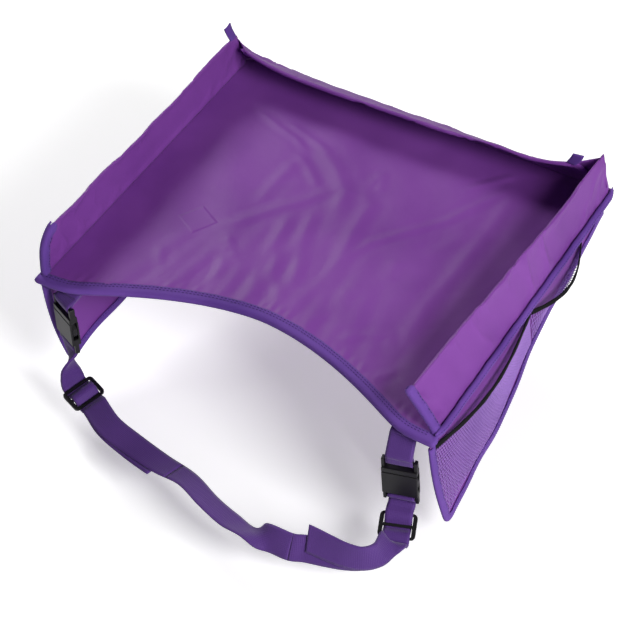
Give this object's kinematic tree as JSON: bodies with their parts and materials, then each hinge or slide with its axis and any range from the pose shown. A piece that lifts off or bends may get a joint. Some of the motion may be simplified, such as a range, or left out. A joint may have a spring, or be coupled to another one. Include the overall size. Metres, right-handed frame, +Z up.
{
  "type": "car_seat_tray_table",
  "caption": "Soft-sided travel tray table for a child's car seat, with padded walls, a bowed front edge, side flaps with net pockets and a buckled waist strap.",
  "frame": {"origin": "The middle of the tray's underside, on the mount underside", "axes": "+X to the right of the child looking at the bowed front edge from outside, +Y from the bowed edge to the far wall, +Z up off the play surface"},
  "size_m": [0.4375, 0.4824, 0.1712],
  "materials": {
    "cover_cloth": "coated woven polyester, faint sheen",
    "binding_tape": "woven polyester tape, matte",
    "webbing": "woven polypropylene webbing, satin",
    "pocket_net": "knitted polyester net, matte",
    "black_elastic": "woven elastic, matte",
    "black_plastic": "moulded acetal, satin",
    "board": "polypropylene sheet, matte",
    "foam": "polyethylene foam wadding"
  },
  "bodies": {
    "tray": {"tray_top_cover": "cover_cloth", "tray_bottom_cover": "cover_cloth", "back_wall_cover": "cover_cloth", "tray_board": "board", "front_edge_binding": "binding_tape", "back_wall_foam": "foam", "left_wall_cover": "cover_cloth", "left_corner_gusset": "cover_cloth", "left_wall_foam": "foam", "left_wall_end_binding": "binding_tape", "left_side_piping": "binding_tape", "left_corner_tab": "webbing", "left_anchor_webbing": "webbing", "left_buckle_plug": "black_plastic", "right_wall_cover": "cover_cloth", "right_corner_gusset": "cover_cloth", "right_wall_foam": "foam", "right_wall_end_binding": "binding_tape", "right_side_piping": "binding_tape", "right_corner_tab": "webbing", "right_anchor_webbing": "webbing", "right_buckle_plug": "black_plastic", "adjuster_strap": "webbing"},
    "left_flap": {"left_flap_panel": "cover_cloth", "left_flap_binding": "binding_tape", "left_front_pocket": "pocket_net", "left_rear_pocket": "pocket_net", "left_front_elastic": "black_elastic", "left_rear_elastic": "black_elastic"},
    "left_socket": {"left_buckle_socket": "black_plastic"},
    "left_slider": {"left_slider": "black_plastic"},
    "left_buckle_left_arm": {"left_buckle_left_arm": "black_plastic"},
    "left_buckle_right_arm": {"left_buckle_right_arm": "black_plastic"},
    "right_flap": {"right_flap_panel": "cover_cloth", "right_flap_binding": "binding_tape", "right_front_pocket": "pocket_net", "right_rear_pocket": "pocket_net", "right_front_elastic": "black_elastic", "right_rear_elastic": "black_elastic"},
    "right_socket": {"right_buckle_socket": "black_plastic"},
    "right_slider": {"right_slider": "black_plastic"},
    "right_buckle_left_arm": {"right_buckle_left_arm": "black_plastic"},
    "right_buckle_right_arm": {"right_buckle_right_arm": "black_plastic"}
  },
  "joints": [
    {"name": "right_flap_swing", "type": "hinge", "parent": "tray", "child": "right_flap", "pos_m": [0.2038, 0, -0.0008], "axis": [0, -1, 0], "range_deg": [-64, 65]},
    {"name": "left_flap_swing", "type": "hinge", "parent": "tray", "child": "left_flap", "pos_m": [-0.2038, 0, -0.0008], "axis": [0, 1, 0], "range_deg": [-48, 80]},
    {"name": "right_buckle_release", "type": "slide", "parent": "tray", "child": "right_socket", "axis": [0.0597, 0.0127, -0.9981], "range_m": [0, 0.026], "deforming": ["adjuster_strap"]},
    {"name": "right_buckle_left_arm_squeeze", "type": "hinge", "parent": "tray", "child": "right_buckle_left_arm", "pos_m": [0.16851, -0.19923, -0.04198], "axis": [0.2079, -0.9781, 0], "range_deg": [0, 6], "stiffness_Nm_per_rad": 0.02},
    {"name": "right_buckle_right_arm_squeeze", "type": "hinge", "parent": "tray", "child": "right_buckle_right_arm", "pos_m": [0.19096, -0.19446, -0.04057], "axis": [-0.2079, 0.9781, 0], "range_deg": [0, 6], "stiffness_Nm_per_rad": 0.02},
    {"name": "left_buckle_release", "type": "slide", "parent": "tray", "child": "left_socket", "axis": [0.0846, -0.045, -0.9954], "range_m": [0, 0.026], "deforming": ["adjuster_strap"]},
    {"name": "left_buckle_left_arm_squeeze", "type": "hinge", "parent": "tray", "child": "left_buckle_left_arm", "pos_m": [-0.18557, -0.18768, -0.02615], "axis": [-0.4695, -0.8829, 0], "range_deg": [0, 6], "stiffness_Nm_per_rad": 0.02},
    {"name": "left_buckle_right_arm_squeeze", "type": "hinge", "parent": "tray", "child": "left_buckle_right_arm", "pos_m": [-0.16535, -0.19843, -0.02394], "axis": [0.4695, 0.8829, 0], "range_deg": [0, 6], "stiffness_Nm_per_rad": 0.02},
    {"name": "right_slider_travel", "type": "slide", "parent": "right_socket", "child": "right_slider", "axis": [0.3003, -0.8408, -0.4504], "range_m": [-0.002, 0.012], "deforming": ["adjuster_strap"]},
    {"name": "left_slider_travel", "type": "slide", "parent": "left_socket", "child": "left_slider", "axis": [-0.9324, 0.3409, 0.1203], "range_m": [-0.03, 0.01], "deforming": ["adjuster_strap"]}
  ]
}
